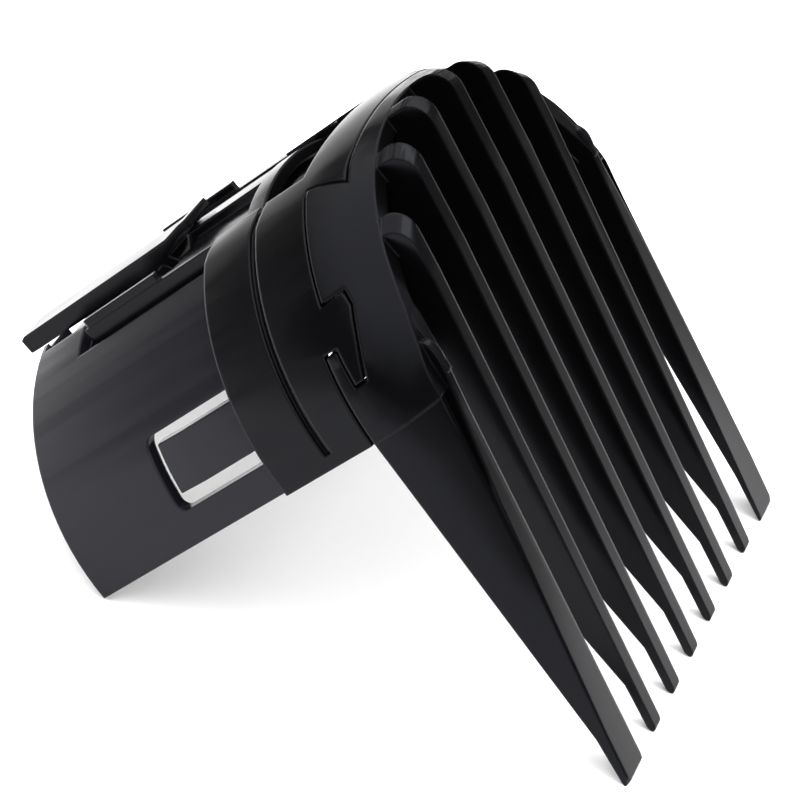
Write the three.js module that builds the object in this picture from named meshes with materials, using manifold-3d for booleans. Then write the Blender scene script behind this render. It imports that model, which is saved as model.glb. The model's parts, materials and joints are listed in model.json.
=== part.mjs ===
// Hair clipper guard comb: a half-tube sleeve telescopes in a collar frame that carries a snap-on
// comb head with eight teeth, a rocking latch lever with its leaf spring, and two snap tongues.
// Millimetres. The parts are drawn in the sleeve's frame: +Y runs along the sleeve towards the
// teeth, +Z points to the lever side, and Y = 0 is the sleeve's rear rim. The last group tips the
// assembly onto its tooth tips and the sleeve's two rear corners, with +Z up.
import * as THREE from 'three';
import { mergeVertices } from 'three/addons/utils/BufferGeometryUtils.js';
import Module from 'manifold-3d';

const wasm = await Module();
wasm.setup();

// ---------------------------------------------------------------- driving dimensions
const GAP = 0.3;                 // clearance between neighbouring parts
const SECTION_STEPS = 48;        // facets around a half-tube section
const EDGE_Z = 0.8;              // lower edge of every half-tube section
const FAR = 60;                  // reach of a cutting block, past every part

const SLEEVE = { halfWidth: 24.1, height: 23.0, wall: 1.3, length: 39.6 };
const SLOT = { halfWidth: 11.4, start: 7.3 };
const RECESS = { halfWidth: 7.6, floorTop: 20.6, floorThick: 1.2, floorHalf: 9.6, apron: 1.2 };
const REAR_WALL = { thick: 0.8, halfWidth: 6.4, top: 21.7, notchHalf: 2.7 };

const WINDOW = { start: 15.3, end: 30.6, low: 4.15, high: 11.55, corner: 1.0 };
const TONGUE = { start: 16.25, end: 30.3, low: 5.6, high: 10.55, noseLength: 3.8, noseDrop: 0.45 };

const COLLAR = {
  start: 28.4, seam: 42.7, tabEnd: 47.0, tabHalf: 11.4,
  halfWidth: 25.3, height: 24.2, top: 22.6, domeRadius: 55,
};
const COLLAR_INNER = { halfWidth: 24.4, height: 23.3 };
const GROOVE = { start: 35.0, width: 0.9, depth: 0.45, lowEnd: 2.2 };
const CHANNEL = { halfWidth: 8.5, end: 41.2 };
const STRAP = { start: 31.6, end: 34.1, top: 22.7, radius: 20.8, thick: 1.2 };

const RAIL = { inner: 8.5, outer: 9.7, start: 8.6, end: 36, low: 19.2, top: 21.7 };
const LIP = { inner: 8.9, outer: 9.6, start: 9.2, end: 20.2, top: 22.6 };
const PLATE = { start: 20.9, end: 32.4, low: 20.3, top: 21.55 };
const RIB = { halfWidth: 1.45, start: 19.3, top: 22.6, rampLength: 1.1, rampDrop: 1.2 };
const CROSSBAR = { end: 10.4, top: 21.0 };
const SPRING_SLOT = { halfWidth: 2.4, low: 19.6, high: 20.7 };

const LEVER = { halfWidth: 2.33, rear: -5.9, front: 21.8 };
const PIVOT = { y: 15.5, z: 20.5, radius: 0.9, bore: 1.05, reach: 8.9 };
const SPRING = { halfWidth: 2.0, thick: 0.4 };

const HEAD = {
  front: 49.6, halfWidth: 22.1, height: 21.8, wall: 1.6,
  lowerEdge: [[49.6, 12], [49.5, 9], [49.2, 7], [49.0, 5.5], [48.6, 3.8], [48.3, 1.9], [48.1, -1]],
};
const TOOTH = {
  pitch: 6.1, thick: 1.7, elbow: 2.2, root: 45.5,
  tops: [[21.7, 21.4], [20.0, 19.2], [16.0, 14.8]],
};
const OUTER_RIB = { inner: 20.3, outer: 21.2, top: 6.3, elbow: 2.0, root: 47.4, foot: -2 };
const CORNER_PAD = {
  start: 47.2, end: 49.4,
  outline: [[21.0, 2], [20.35, 2], [19.7, 4.6], [18.7, 7.4], [18.5, 9.0], [18.8, 10.5], [19.6, 9.2], [20.6, 6.9]],
};
const FRONT_FACE = { bendY: 51.1, bendZ: 9, slope: 0.29, upperSlope: 0.25 };
const TIP = { z: -41.25, faceEnd: -40.7, back: 35.85 };
const SIDE_PLATE = {
  thick: 1.6, webDepth: 3.6, rearTop: 40.55, kinkY: 37.0, kinkZ: -35.6, kinkX: 24.5,
  // height, rib's outer x, outer face's front x, and how far that edge lies behind the teeth
  rows: [
    [4.2, 21.1, 22.3, 1.1], [1.9, 21.2, 22.85, 0.7], [0.3, 21.4, 23.0, 0.45],
    [-3.9, 21.9, 23.0, 0.4], [-10.5, 22.6, 23.1, 0.25], [-17.7, 23.05, 23.3, 0.1],
    [-24.5, 23.5, 23.7, 0.1], [-35.6, 24.1, 24.25, 0.08], [-40.7, 24.15, 24.3, 0.08],
  ],
  tipRow: [-41.25, 23.8, 23.95, 0.04],
};

// ---------------------------------------------------------------- solid helpers
function toSolid(geometry) {
  const bare = geometry.clone();
  bare.deleteAttribute('normal');
  bare.deleteAttribute('uv');
  const merged = mergeVertices(bare, 1e-4);
  return new wasm.Manifold(new wasm.Mesh({
    numProp: 3,
    vertProperties: new Float32Array(merged.attributes.position.array),
    triVerts: new Uint32Array(merged.index.array),
  }));
}

function toGeometry(solid) {
  const mesh = solid.getMesh();
  const geometry = new THREE.BufferGeometry();
  geometry.setAttribute('position', new THREE.BufferAttribute(mesh.vertProperties, 3));
  geometry.setIndex(new THREE.BufferAttribute(mesh.triVerts, 1));
  geometry.computeVertexNormals();
  return geometry;
}

function box(x0, x1, y0, y1, z0, z1) {
  const geometry = new THREE.BoxGeometry(x1 - x0, y1 - y0, z1 - z0);
  geometry.translate((x0 + x1) / 2, (y0 + y1) / 2, (z0 + z1) / 2);
  return toSolid(geometry);
}

// A block with its outline in the Y-Z plane, from x0 to x1.
function sideBlock(outline, x0, x1) {
  const shape = new THREE.Shape(outline.map(([y, z]) => new THREE.Vector2(y, z)));
  const geometry = new THREE.ExtrudeGeometry(shape, { depth: x1 - x0, bevelEnabled: false });
  geometry.applyMatrix4(new THREE.Matrix4().set(
    0, 0, 1, x0,
    1, 0, 0, 0,
    0, 1, 0, 0,
    0, 0, 0, 1,
  ));
  return toSolid(geometry);
}

// Joins closed loops of equally many points, with a flat cap on each end.
function loft(rings, capAxes) {
  const flat = (p) => new THREE.Vector2(p[capAxes[0]], p[capAxes[1]]);
  const clockwise = THREE.ShapeUtils.isClockWise(rings[0].map(flat));
  const loops = clockwise ? rings.map((ring) => [...ring].reverse()) : rings;
  const count = loops[0].length;
  const positions = loops.flat().flatMap((p) => [p.x, p.y, p.z]);
  const index = [];
  for (let k = 0; k < loops.length - 1; k += 1) {
    for (let i = 0; i < count; i += 1) {
      const a = k * count + i;
      const b = k * count + (i + 1) % count;
      index.push(a, b, b + count, a, b + count, a + count);
    }
  }
  const last = (loops.length - 1) * count;
  for (const [a, b, c] of THREE.ShapeUtils.triangulateShape(loops[0].map(flat), [])) {
    index.push(a, c, b);
  }
  for (const [a, b, c] of THREE.ShapeUtils.triangulateShape(loops.at(-1).map(flat), [])) {
    index.push(last + a, last + b, last + c);
  }
  const geometry = new THREE.BufferGeometry();
  geometry.setAttribute('position', new THREE.Float32BufferAttribute(positions, 3));
  geometry.setIndex(index);
  const solid = toSolid(geometry);
  return solid.volume() > 0 ? solid : toSolid(flip(geometry));
}

function flip(geometry) {
  const index = Array.from(geometry.index.array);
  for (let i = 0; i < index.length; i += 3) {
    [index[i], index[i + 1]] = [index[i + 1], index[i]];
  }
  geometry.setIndex(index);
  return geometry;
}

function bothSides(solid) {
  return solid.add(solid.mirror([1, 0, 0]));
}

// ---------------------------------------------------------------- half-tube sections
// Height of the arch at x: an ellipse, flattened on top to a shallow dome.
function archHeight(section, x) {
  const ellipse = section.height * Math.sqrt(Math.max(0, 1 - (x / section.halfWidth) ** 2));
  const dome = section.top === undefined ? Infinity : section.top - x * x / (2 * section.domeRadius);
  return Math.min(ellipse, dome);
}

function archPoints(section, y) {
  const points = [];
  const start = Math.asin(EDGE_Z / section.height);
  for (let i = 0; i <= SECTION_STEPS; i += 1) {
    const angle = start + (Math.PI - 2 * start) * i / SECTION_STEPS;
    const x = section.halfWidth * Math.cos(angle);
    points.push(new THREE.Vector3(x, y, Math.max(EDGE_Z, archHeight(section, x))));
  }
  return points;
}

// A half-tube shell through [y, outer section, inner section] stations.
function archShell(stations) {
  const loops = stations.map(([y, outer, inner]) => (
    [...archPoints(outer, y), ...archPoints(inner, y).reverse()]
  ));
  return loft(loops, ['x', 'z']);
}

const mix = (a, b, f) => a + (b - a) * f;

// Outer section of the collar and the comb head, which draws in towards the teeth.
function bodySection(y) {
  const f = THREE.MathUtils.clamp((y - COLLAR.seam) / (HEAD.front - COLLAR.seam), 0, 1) ** 1.5;
  return {
    halfWidth: mix(COLLAR.halfWidth, HEAD.halfWidth, f),
    height: mix(COLLAR.height, HEAD.height, f),
    top: mix(COLLAR.top, HEAD.height, f),
    domeRadius: mix(COLLAR.domeRadius, HEAD.halfWidth, f),
  };
}

function insetSection(section, wall) {
  return {
    halfWidth: section.halfWidth - wall,
    height: section.height - wall,
    top: section.top - wall,
    domeRadius: section.domeRadius,
  };
}

// ---------------------------------------------------------------- sleeve
function roundedWindow(low, high) {
  const { start, end, corner } = WINDOW;
  const outline = [[end, low], [end, high]];
  const steps = 4;
  for (const [cz, from] of [[high - corner, Math.PI / 2], [low + corner, Math.PI]]) {
    for (let i = 0; i <= steps; i += 1) {
      const angle = from + Math.PI / 2 * i / steps;
      outline.push([start + corner + corner * Math.cos(angle), cz + corner * Math.sin(angle)]);
    }
  }
  return outline.reverse();
}

function sleeveShell() {
  const outer = { halfWidth: SLEEVE.halfWidth, height: SLEEVE.height };
  const inner = { halfWidth: outer.halfWidth - SLEEVE.wall, height: outer.height - SLEEVE.wall };
  const { halfWidth, floorTop, floorThick, floorHalf, apron } = RECESS;
  const shell = archShell([[0, outer, inner], [SLEEVE.length, outer, inner]]);
  const slot = box(-SLOT.halfWidth, SLOT.halfWidth, SLOT.start, FAR, EDGE_Z + GAP, FAR);
  const recess = box(-halfWidth, halfWidth, REAR_WALL.thick, FAR, floorTop - GAP, FAR);
  const floor = box(-floorHalf, floorHalf, 0, SLOT.start - GAP, floorTop - floorThick, floorTop);
  const wall = box(-halfWidth, halfWidth, 0, REAR_WALL.thick, floorTop - GAP, REAR_WALL.top);
  const wide = box(-REAR_WALL.halfWidth, REAR_WALL.halfWidth, -1, FAR, REAR_WALL.top, FAR);
  const notch = box(-REAR_WALL.notchHalf, REAR_WALL.notchHalf, -1, FAR, floorTop, FAR);
  const ledge = box(-REAR_WALL.notchHalf, REAR_WALL.notchHalf, -apron, 1, floorTop - floorThick, floorTop);
  const window = bothSides(sideBlock(roundedWindow(WINDOW.low, WINDOW.high), 10, FAR));
  return shell.subtract(slot).subtract(recess).add(floor).add(ledge).add(wall)
    .subtract(wide).subtract(notch).subtract(window);
}

// A tongue cut free from the sleeve's wall: its free end dips inwards to a detent nose.
function snapTongue() {
  const stations = [
    [TONGUE.start, TONGUE.noseDrop],
    [TONGUE.start + TONGUE.noseLength, 0],
    [TONGUE.end, 0],
  ];
  const steps = 6;
  const loops = stations.map(([y, drop]) => {
    const outer = [];
    const inner = [];
    for (let i = 0; i <= steps; i += 1) {
      const z = mix(TONGUE.low, TONGUE.high, i / steps);
      const reach = Math.sqrt(1 - (z / SLEEVE.height) ** 2) * SLEEVE.halfWidth;
      outer.push(new THREE.Vector3(reach - drop, y, z));
      inner.push(new THREE.Vector3(reach - drop - SLEEVE.wall, y, z));
    }
    return [...outer, ...inner.reverse()];
  });
  return loft(loops, ['x', 'z']);
}

// ---------------------------------------------------------------- collar frame
// Outline of the frame's side as seen along X, with the barbed hook that locks the comb head.
function seamOutline(gap) {
  return [
    [20, 0], [40.2 + gap, 0], [40.3 + gap, EDGE_Z], [40.9 + gap, 9.8 - gap],
    [42.7 - gap, 9.8 - gap], [42.7 - gap, 6.3 - gap], [43.6 + gap, 6.3 - gap],
    [44.8 + gap, 9.6], [45.5 + gap, 12.1], [45.2 + gap, 13.3 + gap], [42.7 + gap, 13.3 + gap],
    [42.7 + gap, FAR], [20, FAR],
  ];
}

// Everything on the frame's side of the seam, grown by the gap.
function frameRegion(gap) {
  const side = sideBlock(seamOutline(gap), 1, FAR);
  const tabHalf = COLLAR.tabHalf + gap;
  const tab = box(-tabHalf, tabHalf, 20, COLLAR.tabEnd + gap, 10, FAR);
  return bothSides(side).add(tab);
}

function collarShell() {
  const ys = [COLLAR.start, 36, COLLAR.seam, 44.2, 45.6, 47, COLLAR.tabEnd + 1];
  const stations = ys.map((y) => {
    const outer = bodySection(y);
    const inner = {
      halfWidth: COLLAR_INNER.halfWidth - (COLLAR.halfWidth - outer.halfWidth),
      height: COLLAR_INNER.height - (COLLAR.height - outer.height),
      top: outer.top - 0.9,
      domeRadius: outer.domeRadius,
    };
    return [y, outer, inner];
  });
  return archShell(stations).intersect(frameRegion(0));
}

// A shallow groove round the collar that stops above its lower edge.
function collarGroove() {
  const outer = bodySection(GROOVE.start);
  const big = { halfWidth: outer.halfWidth + 2, height: outer.height + 2 };
  const floor = insetSection(outer, GROOVE.depth);
  const ring = archShell([
    [GROOVE.start, big, floor],
    [GROOVE.start + GROOVE.width, big, floor],
  ]);
  return ring.subtract(box(-FAR, FAR, 0, FAR, -1, GROOVE.lowEnd));
}

function strap() {
  const { start, end, top, radius, thick } = STRAP;
  const reach = RAIL.outer - GAP;
  const steps = 16;
  const loops = [start, end].map((y) => {
    const upper = [];
    const lower = [];
    for (let i = 0; i <= steps; i += 1) {
      const x = mix(reach, -reach, i / steps);
      const z = top - radius + Math.sqrt(radius ** 2 - x ** 2);
      upper.push(new THREE.Vector3(x, y, z));
      lower.push(new THREE.Vector3(x, y, z - thick));
    }
    return [...upper, ...lower.reverse()];
  });
  return loft(loops, ['x', 'z']);
}

function pivotRod(radius, x0, x1) {
  const rod = new THREE.CylinderGeometry(radius, radius, x1 - x0, 20);
  rod.rotateZ(Math.PI / 2);
  rod.translate((x0 + x1) / 2, PIVOT.y, PIVOT.z);
  return toSolid(rod);
}

// The arm that reaches back in the sleeve's slot: rails, lips, plate, rib and rear crossbar.
function guideArm() {
  const rail = box(RAIL.inner, RAIL.outer, RAIL.start, RAIL.end, RAIL.low, RAIL.top);
  const lip = box(LIP.inner, LIP.outer, LIP.start, LIP.end, RAIL.top - 0.2, LIP.top);
  const bore = pivotRod(PIVOT.bore, RAIL.inner - 1, PIVOT.reach + GAP);
  const sides = bothSides(rail.add(lip).subtract(bore));
  const reach = RAIL.inner + 0.1;
  const plate = box(-reach, reach, PLATE.start, PLATE.end, PLATE.low, PLATE.top);
  const rib = sideBlock([
    [RIB.start, PLATE.low], [PLATE.end, PLATE.low], [PLATE.end, RIB.top],
    [RIB.start + RIB.rampLength, RIB.top], [RIB.start, RIB.top - RIB.rampDrop],
  ], -RIB.halfWidth, RIB.halfWidth);
  const bar = box(-reach, reach, RAIL.start, CROSSBAR.end, RAIL.low, CROSSBAR.top);
  const half = SPRING_SLOT.halfWidth;
  const opening = box(-half, half, 0, CROSSBAR.end + 1, SPRING_SLOT.low, SPRING_SLOT.high);
  return sides.add(plate).add(rib).add(bar.subtract(opening));
}

function collarFrame() {
  const half = CHANNEL.halfWidth;
  const channel = box(-half, half, 20, CHANNEL.end, 10, FAR);
  return collarShell().subtract(collarGroove()).subtract(channel).add(strap()).add(guideArm());
}

// ---------------------------------------------------------------- latch lever and its spring
function selectorLever() {
  const bar = sideBlock([
    [LEVER.rear, 21.5], [-4.7, 21.45], [14.3, 21.45], [14.3, 22.0], [17.0, 22.0],
    [18.4, 22.35], [19.8, 22.9], [LEVER.front, 23.1], [LEVER.front, 24.1], [20.4, 23.95],
    [18.0, 23.5], [15.0, 23.45], [-5.3, 23.45], [LEVER.rear, 23.2],
  ], -LEVER.halfWidth, LEVER.halfWidth);
  const web = sideBlock([
    [14.3, 22.2], [14.3, PIVOT.z], [17.2, 20.0], [17.8, 20.0], [17.8, 21.0], [16.9, 22.2],
  ], -LEVER.halfWidth, LEVER.halfWidth);
  return bar.add(web).add(pivotRod(PIVOT.radius, -PIVOT.reach, PIVOT.reach));
}

// A bent leaf: held in the crossbar, it rises under the lever behind the pivot.
function leverSpring() {
  const spine = [[7.9, 19.95], [10.9, 19.95], [13.4, 20.7], [13.7, 20.7]];
  const upper = spine.map(([y, z]) => [y, z + SPRING.thick]).reverse();
  return sideBlock([...spine, ...upper], -SPRING.halfWidth, SPRING.halfWidth);
}

// ---------------------------------------------------------------- comb head
// The teeth's front faces lean forwards with height, a little less above the bend.
function frontY(z) {
  const slope = z < FRONT_FACE.bendZ ? FRONT_FACE.slope : FRONT_FACE.upperSlope;
  return FRONT_FACE.bendY + slope * (z - FRONT_FACE.bendZ);
}

// The crown ends in a plane on top; its lower front corners curve back from that plane.
function crown() {
  const ys = [38, COLLAR.seam, 44.2, 45.6, 47, 48.4, HEAD.front];
  const stations = ys.map((y) => [y, bodySection(y), insetSection(bodySection(y), HEAD.wall)]);
  const ahead = sideBlock([
    ...[...HEAD.lowerEdge].reverse(), [HEAD.front, FAR], [FAR, FAR], [FAR, -1],
  ].reverse(), -FAR, FAR);
  return archShell(stations).subtract(ahead).subtract(frameRegion(GAP));
}

// The rounded bend between a tooth's front face and its top, as [y, z] points going up.
function elbowArc(top, radius) {
  const lean = Math.atan(FRONT_FACE.upperSlope);
  const setback = radius * Math.tan((Math.PI / 2 + lean) / 2);
  const centre = [frontY(top) - setback, top - radius];
  const steps = 8;
  return Array.from({ length: steps + 1 }, (_, i) => {
    const angle = mix(-lean, Math.PI / 2, i / steps);
    return [centre[0] + radius * Math.cos(angle), centre[1] + radius * Math.sin(angle)];
  });
}

const atX = (x, outline) => outline.map(([y, z]) => new THREE.Vector3(x, y, z));

function toothOutline(top) {
  return [
    [TOOTH.root, top - 0.8], [44.0, 10], [42.2, 0], [39.6, -12], [37.6, -22], [37.1, -28],
    [37.15, -35.5], [TIP.back, -40.6], [TIP.back + 0.1, -41.05], [36.15, TIP.z],
    [36.45, -41.15], [frontY(TIP.faceEnd), TIP.faceEnd], [FRONT_FACE.bendY, FRONT_FACE.bendZ],
    ...elbowArc(top, TOOTH.elbow), [HEAD.front - 1, top - 0.05],
  ];
}

// A tooth and its mirror image; its top falls from the inner to the outer face.
function toothPair(k) {
  const inner = TOOTH.pitch * (k + 0.5) - TOOTH.thick / 2;
  const [innerTop, outerTop] = TOOTH.tops[k];
  return bothSides(loft([
    atX(inner, toothOutline(innerTop)),
    atX(inner + TOOTH.thick, toothOutline(outerTop)),
  ], ['y', 'z']));
}

// The outermost tooth's top and the thicker corner of the crown behind it.
function outerRib() {
  const { inner, outer, top, root, foot, elbow } = OUTER_RIB;
  const outline = [[root, top - 1], [root, foot], [frontY(foot), foot], ...elbowArc(top, elbow)];
  const { start, end } = CORNER_PAD;
  const pad = loft([end, start].map((y) => (
    CORNER_PAD.outline.map(([x, z]) => new THREE.Vector3(x, y, z))
  )), ['x', 'z']);
  return sideBlock(outline, inner, outer).add(pad);
}

// Half width of a section at height z, on its elliptical flank.
const flankX = (section, z) => section.halfWidth * Math.sqrt(1 - (z / section.height) ** 2);

// Horizontal section of a side plate. A groove parts the front rib from the outer face, which
// bulges between its front edge and its rear edge.
function sidePlateLoop([z, ribX, faceX, setback]) {
  const { thick, webDepth, rearTop, kinkY, kinkZ, kinkX } = SIDE_PLATE;
  const { inner } = OUTER_RIB;
  const down = THREE.MathUtils.clamp(z / kinkZ, 0, 1);
  const front = frontY(z);
  const rear = z > kinkZ
    ? mix(rearTop, kinkY, down)
    : mix(kinkY, TIP.back, (z - kinkZ) / (TIP.z - kinkZ));
  const backX = mix(flankX(bodySection(rear), Math.max(z, 0)) - 0.03, kinkX, down);
  const faceY = front - setback;
  const groove = Math.min(setback + 0.5 * (faceX - ribX), (front - rear) * 0.3);
  const depth = Math.min(webDepth, (front - rear) * 0.6);
  const bulgeX = mix(faceX, backX, 0.76);
  const bulgeY = mix(faceY, rear, 0.45);
  return [
    [inner, front], [ribX, front], [ribX + 0.03, front - groove],
    [faceX - 0.06, front - groove], [faceX - 0.04, faceY], [faceX, faceY], [bulgeX, bulgeY],
    [backX, rear], [backX - thick, rear], [bulgeX - thick, mix(bulgeY, rear, 0.2)],
    [inner, front - depth],
  ].map(([x, y]) => new THREE.Vector3(x, y, z));
}

function sidePlate() {
  const loops = SIDE_PLATE.rows.map(sidePlateLoop);
  const tip = sidePlateLoop(SIDE_PLATE.tipRow);
  loops.push(tip.map((p) => new THREE.Vector3(p.x, mix(p.y, 36.2, 0.3), p.z)));
  return loft(loops, ['x', 'y']);
}

function combHead() {
  const side = sidePlate().add(outerRib());
  let head = crown().add(bothSides(side.subtract(frameRegion(GAP))));
  for (let k = 0; k < TOOTH.tops.length; k += 1) {
    head = head.add(toothPair(k));
  }
  return head;
}

// ---------------------------------------------------------------- scene
const BLACK_GLOSS = { color: 0x2b2c2e, roughness: 0.32, metalness: 0 };
const GREY_BLACK = { color: 0x303231, roughness: 0.4, metalness: 0 };
const SPRING_STEEL = { color: 0x9a9c9e, roughness: 0.35, metalness: 0.9 };

const assembly = new THREE.Group();
function addPart(name, solid, look) {
  const mesh = new THREE.Mesh(toGeometry(solid), new THREE.MeshStandardMaterial(look));
  mesh.name = name;
  assembly.add(mesh);
}

addPart('sleeve_shell', sleeveShell(), BLACK_GLOSS);
addPart('right_snap_tongue', snapTongue(), BLACK_GLOSS);
addPart('left_snap_tongue', snapTongue().mirror([1, 0, 0]), BLACK_GLOSS);
addPart('collar_frame', collarFrame(), BLACK_GLOSS);
addPart('comb_head', combHead(), BLACK_GLOSS);
addPart('selector_lever', selectorLever(), GREY_BLACK);
addPart('lever_spring', leverSpring(), SPRING_STEEL);

// Tip the assembly until the sleeve's rear corners and the outer tooth tips share one plane.
const tipDrop = EDGE_Z - TIP.z;
const tipReach = 36.2;
assembly.rotation.x = Math.atan2(tipDrop, tipReach);
assembly.updateMatrixWorld(true);

const comb = new THREE.Group();
comb.add(assembly);
const bounds = new THREE.Box3().setFromObject(comb, true);
const centre = bounds.getCenter(new THREE.Vector3());
assembly.position.set(-centre.x, -centre.y, -bounds.min.z);

export default comb;
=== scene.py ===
"""Looks of the clipper guard comb: black injection-moulded plastic on a white studio floor."""

import json
import math

import bmesh
import bpy
from mathutils import Matrix, Vector
from mathutils.bvhtree import BVHTree


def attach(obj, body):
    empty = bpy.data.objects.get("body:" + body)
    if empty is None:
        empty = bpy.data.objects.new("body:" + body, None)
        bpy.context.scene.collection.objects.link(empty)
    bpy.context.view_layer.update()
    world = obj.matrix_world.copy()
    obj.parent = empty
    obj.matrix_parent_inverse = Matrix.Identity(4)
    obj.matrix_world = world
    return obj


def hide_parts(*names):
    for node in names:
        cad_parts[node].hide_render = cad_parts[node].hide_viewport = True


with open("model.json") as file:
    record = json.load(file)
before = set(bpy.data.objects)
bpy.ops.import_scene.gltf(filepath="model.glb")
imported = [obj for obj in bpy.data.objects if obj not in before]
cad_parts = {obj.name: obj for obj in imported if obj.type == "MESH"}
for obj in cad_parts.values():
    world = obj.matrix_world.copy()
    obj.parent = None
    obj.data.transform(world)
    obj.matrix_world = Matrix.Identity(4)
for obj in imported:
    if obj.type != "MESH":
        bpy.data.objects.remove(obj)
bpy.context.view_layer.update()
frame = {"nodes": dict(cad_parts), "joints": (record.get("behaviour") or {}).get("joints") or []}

MM = 0.001


# ------------------------------------------------------------------ frame of the drawing
# The CAD part lies tipped on its tooth tips. The sleeve's own frame has +Y along the sleeve
# towards the teeth and +Z on the lever side, with Y = 0 at the rear rim.
def unit(v):
    return Vector(v).normalized()


joints = {joint["name"]: joint for joint in frame["joints"]}
ALONG = -unit(joints["length_slide"]["axis"])
ACROSS = Vector((1, 0, 0))
UP = ACROSS.cross(ALONG)
PIVOT_Y, PIVOT_Z = 15.5, 20.5
ORIGIN = Vector(joints["lever_rock"]["pos_m"]) - (ALONG * PIVOT_Y + UP * PIVOT_Z) * MM


def turn(x, y, z):
    """A direction in the sleeve's frame, in the row frame."""
    return ACROSS * x + ALONG * y + UP * z


def place(x, y, z):
    """A point given in millimetres in the sleeve's frame, in the row frame."""
    return ORIGIN + turn(x, y, z) * MM


# ------------------------------------------------------------------ node helpers
def blank_material(name):
    """A new material, with its nodes, its links and its Principled shader."""
    material = bpy.data.materials.new(name)
    material.use_nodes = True
    nodes, links = material.node_tree.nodes, material.node_tree.links
    return material, nodes, links, nodes["Principled BSDF"]


def object_noise(nodes, links, scale, detail=2.0):
    """Noise that stays with the piece."""
    coords = nodes.new("ShaderNodeTexCoord")
    noise = nodes.new("ShaderNodeTexNoise")
    noise.inputs["Scale"].default_value = scale
    noise.inputs["Detail"].default_value = detail
    links.new(coords.outputs["Object"], noise.inputs["Vector"])
    return noise.outputs["Fac"]


def remap(nodes, links, value, out, span=(0.0, 1.0), smooth=False):
    """Map a value from one range to another, and return the output socket."""
    ramp = nodes.new("ShaderNodeMapRange")
    if smooth:
        ramp.interpolation_type = "SMOOTHSTEP"
    sockets = ("From Min", "From Max", "To Min", "To Max")
    for socket, number in zip(sockets, (*span, *out)):
        ramp.inputs[socket].default_value = number
    links.new(value, ramp.inputs["Value"])
    return ramp.outputs["Result"]


# ------------------------------------------------------------------ materials
CLOUD_SCALE, CLOUD_DETAIL = 55.0, 4.0
SPECKLE_SCALE, SPECKLE_DEPTH = 2600.0, 0.02 * MM
BRUSH_SCALE = 900.0
EDGE_RADIUS = 0.35 * MM
EDGE_SAMPLES = 6
# A cool colour painted into the plastic's reflections, standing in for cool light.
PAINTED_COOL_LIGHT = (0.84, 0.86, 1.0, 1)
PLASTIC_IOR = 1.5
TONE_SPREAD = (0.9, 1.12)
GLOSS_SPREAD = (0.85, 1.15)
BRUSH_SPREAD = (0.7, 1.3)


def plastic(name, base, rough, grain, gloss_level):
    """Moulded plastic: fine grain, faint flow clouds in the gloss and softly lit edges."""
    material, nodes, links, shader = blank_material(name)
    clouds = object_noise(nodes, links, CLOUD_SCALE, CLOUD_DETAIL)

    tone = nodes.new("ShaderNodeMix")
    tone.data_type = "RGBA"
    for side, share in zip("AB", TONE_SPREAD):
        tone.inputs[side].default_value = (*[c * share for c in base], 1)
    links.new(clouds, tone.inputs["Factor"])
    links.new(tone.outputs["Result"], shader.inputs["Base Color"])

    gloss = remap(nodes, links, clouds, [rough * share for share in GLOSS_SPREAD])
    links.new(gloss, shader.inputs["Roughness"])

    soft_edges = nodes.new("ShaderNodeBevel")
    soft_edges.samples = EDGE_SAMPLES
    soft_edges.inputs["Radius"].default_value = EDGE_RADIUS
    bump = nodes.new("ShaderNodeBump")
    bump.inputs["Strength"].default_value = grain
    bump.inputs["Distance"].default_value = SPECKLE_DEPTH
    links.new(object_noise(nodes, links, SPECKLE_SCALE), bump.inputs["Height"])
    links.new(soft_edges.outputs["Normal"], bump.inputs["Normal"])
    links.new(bump.outputs["Normal"], shader.inputs["Normal"])

    shader.inputs["IOR"].default_value = PLASTIC_IOR
    shader.inputs["Specular IOR Level"].default_value = gloss_level
    # Painted cool light: the reflections are tinted bluish.
    shader.inputs["Specular Tint"].default_value = PAINTED_COOL_LIGHT
    return material


def metal(name, base, rough):
    """Bare spring strip with a finely varied sheen."""
    material, nodes, links, shader = blank_material(name)
    shader.inputs["Base Color"].default_value = (*base, 1)
    shader.inputs["Metallic"].default_value = 1.0
    brushed = object_noise(nodes, links, BRUSH_SCALE)
    gloss = remap(nodes, links, brushed, [rough * share for share in BRUSH_SPREAD])
    links.new(gloss, shader.inputs["Roughness"])
    return material


BLACK = plastic("black_gloss", (0.0012, 0.0012, 0.0014), 0.22, 0.05, 0.1)
# The sleeve and tongues get a lighter base tone and a stronger reflection than the head. This is
# painted light that makes them look brighter lit; their slightly rougher, grainier finish is real.
SATIN_PAINTED_LIGHT = plastic("black_satin", (0.004, 0.004, 0.0055), 0.25, 0.08, 0.15)
STEEL = metal("spring_steel", (0.62, 0.62, 0.63), 0.3)


# ------------------------------------------------------------------ pieces
CREASE = math.radians(30)
SHARP = math.radians(35)
FLAT = math.radians(0.4)
LENGTHWISE_LIMIT = 0.05


def tidy_facets(shape):
    """Merge doubled points, slivers and coplanar facets."""
    bmesh.ops.remove_doubles(shape, verts=shape.verts, dist=0.002 * MM)
    bmesh.ops.dissolve_degenerate(shape, dist=0.02 * MM, edges=shape.edges)
    bmesh.ops.dissolve_limit(
        shape, angle_limit=FLAT, verts=shape.verts, edges=shape.edges
    )


def round_edges(shape, radius, segments=3):
    """Bevel sharp edges with clear ends. The clamp may shrink the radius, over the whole piece."""
    room = 2.6 * radius
    crowded = {v for e in shape.edges if e.calc_length() < room for v in e.verts}
    sharp = [
        e
        for e in shape.edges
        if e.calc_face_angle(0) > CREASE and not crowded.intersection(e.verts)
    ]
    bmesh.ops.bevel(
        shape,
        geom=sharp,
        offset=radius,
        segments=segments,
        profile=0.5,
        affect="EDGES",
        clamp_overlap=True,
    )


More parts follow.
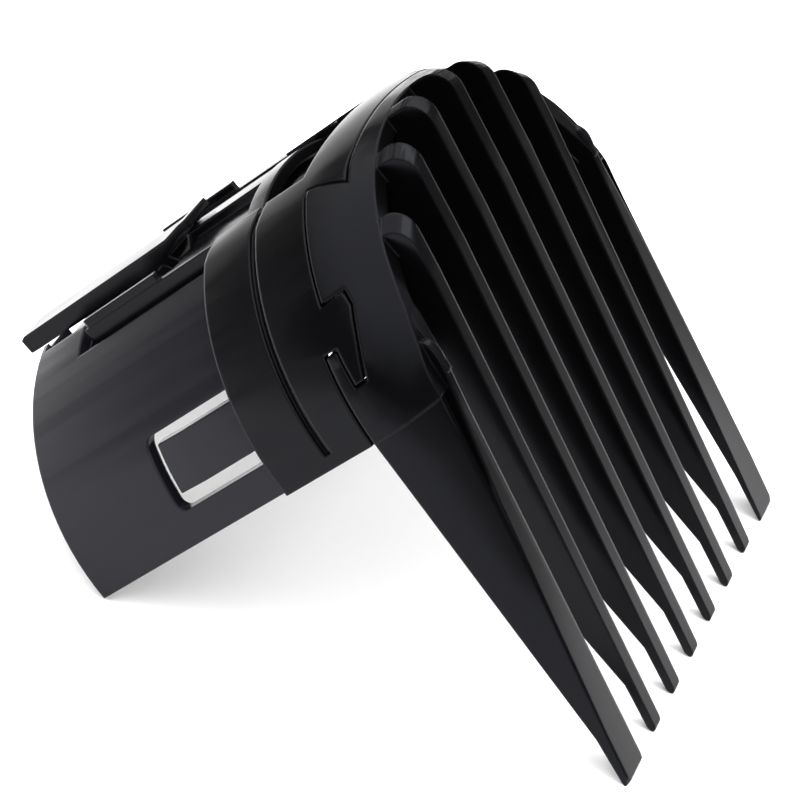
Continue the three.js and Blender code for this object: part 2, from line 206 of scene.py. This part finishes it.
def even_normals(mesh, reach=2.0 * MM, samples=24):
    """Shade curved walls from the average lie of the surface around each corner."""
    surface = BVHTree.FromPolygons(
        [v.co for v in mesh.vertices], [tuple(p.vertices) for p in mesh.polygons]
    )
    same_wall = math.cos(CREASE)
    angles = [2 * math.pi * k / samples for k in range(samples)]
    normals = []
    for face in mesh.polygons:
        round_about = face.normal.cross(ALONG)
        if round_about.length < LENGTHWISE_LIMIT:
            round_about = face.normal.orthogonal()
        round_about.normalize()
        lengthwise = face.normal.cross(round_about)
        for index in face.vertices:
            total = Vector()
            for angle in angles:
                step = round_about * math.cos(angle) + lengthwise * math.sin(angle)
                lie = surface.find_nearest(mesh.vertices[index].co + step * reach)[1]
                if lie.dot(face.normal) > same_wall:
                    total += lie
            normals.append(total.normalized() if total.length else face.normal)
    mesh.normals_split_custom_set(normals)


def moulded(node, body, material, radius):
    """The moulded look of a CAD node: facets merged, clear edges bevelled, curves shaded smooth."""
    mesh = frame["nodes"][node].data.copy()
    piece = bpy.data.objects.new(f"{node}_moulded", mesh)
    bpy.context.scene.collection.objects.link(piece)

    shape = bmesh.new()
    shape.from_mesh(mesh)
    tidy_facets(shape)
    round_edges(shape, radius * MM)
    shape.to_mesh(mesh)
    shape.free()

    mesh.materials.clear()
    mesh.materials.append(material)
    for face in mesh.polygons:
        face.use_smooth = True
    mesh.set_sharp_from_angle(angle=SHARP)
    even_normals(mesh)

    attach(piece, body)
    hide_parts(node)
    return piece


moulded("sleeve_shell", "sleeve", SATIN_PAINTED_LIGHT, 0.15)
moulded("right_snap_tongue", "right_tongue", SATIN_PAINTED_LIGHT, 0.15)
moulded("left_snap_tongue", "left_tongue", SATIN_PAINTED_LIGHT, 0.15)
moulded("collar_frame", "head", BLACK, 0.12)
moulded("comb_head", "head", BLACK, 0.12)
moulded("selector_lever", "lever", BLACK, 0.2)
moulded("lever_spring", "head", STEEL, 0.05)


# ------------------------------------------------------------------ studio
CENTRE = place(0, 30, -5)
FLOOR_SIZE = 6.0
FLOOR_SHADE_FADE = (0.115, 0.2)
FLOOR_WHITE, FLOOR_PAINTED_SHADE = 0.9, 0.33
DOME_FADE = (0.16, 0.7)
DOME_LOW, DOME_HIGH = 0.15, 3.1
KEY_OFFSET = Vector((0, 0.1, 0.8))
KEY_SIZE, KEY_POWER = 0.6, 5.0


def studio_floor():
    """Matt floor, white near the part, with painted shade that darkens it away from the part, which
    keeps low reflections dark.
    """
    bpy.ops.mesh.primitive_plane_add(size=FLOOR_SIZE, location=(0, 0, 0))
    floor = bpy.context.object
    floor.name = "floor"
    look, nodes, links, shader = blank_material("floor_white_painted_shade")
    shader.inputs["Roughness"].default_value = 0.9
    shader.inputs["Specular IOR Level"].default_value = 0.0
    coords = nodes.new("ShaderNodeTexCoord")
    distance = nodes.new("ShaderNodeVectorMath")
    distance.operation = "LENGTH"
    links.new(coords.outputs["Object"], distance.inputs[0])
    # Painted shade: the floor's colour darkens with distance from the part.
    tone = remap(
        nodes, links, distance.outputs["Value"], (FLOOR_WHITE, FLOOR_PAINTED_SHADE), FLOOR_SHADE_FADE, True
    )
    links.new(tone, shader.inputs["Base Color"])
    floor.data.materials.append(look)


def studio_dome():
    """Soft light from above that fades to a dimmer band at the horizon."""
    dome = bpy.data.worlds.new("studio")
    dome.use_nodes = True
    nodes, links = dome.node_tree.nodes, dome.node_tree.links
    background = nodes["Background"]
    direction = nodes.new("ShaderNodeTexCoord")
    split = nodes.new("ShaderNodeSeparateXYZ")
    links.new(direction.outputs["Generated"], split.inputs["Vector"])
    height = split.outputs["Z"]
    strength = remap(nodes, links, height, (DOME_LOW, DOME_HIGH), DOME_FADE, True)
    links.new(strength, background.inputs["Strength"])
    background.inputs["Color"].default_value = (1, 1, 1, 1)
    bpy.context.scene.world = dome


def key_light():
    """A broad soft box overhead."""
    data = bpy.data.lights.new("key", "AREA")
    data.shape = "RECTANGLE"
    data.size = data.size_y = KEY_SIZE
    data.energy = KEY_POWER
    lamp = bpy.data.objects.new("key", data)
    lamp.location = CENTRE + KEY_OFFSET
    lamp.rotation_euler = (-KEY_OFFSET).to_track_quat("-Z", "Y").to_euler()
    bpy.context.scene.collection.objects.link(lamp)


studio_floor()
studio_dome()
key_light()
bpy.context.scene.view_settings.view_transform = "Standard"


# ------------------------------------------------------------------ camera
CAMERA_AT = (237.52, 217.10, 62.82)
CAMERA_RIGHT = (-0.369739, 0.680074, -0.633082)
CAMERA_BACK = (0.760987, 0.612589, 0.213620)
SENSOR = 36
FOCAL_SHARE = 3.87466


def add_camera():
    """A long lens looking down on the teeth and the sleeve's right side."""
    data = bpy.data.cameras.new("camera")
    data.sensor_width = SENSOR
    data.lens = SENSOR * FOCAL_SHARE
    data.clip_start = 10 * MM
    back = unit(turn(*CAMERA_BACK))
    right = unit(turn(*CAMERA_RIGHT))
    right = unit(right - back * right.dot(back))
    axes = Matrix((right, back.cross(right), back)).transposed()
    camera = bpy.data.objects.new("camera", data)
    camera.matrix_world = Matrix.Translation(place(*CAMERA_AT)) @ axes.to_4x4()
    bpy.context.scene.collection.objects.link(camera)
    bpy.context.scene.camera = camera


add_camera()
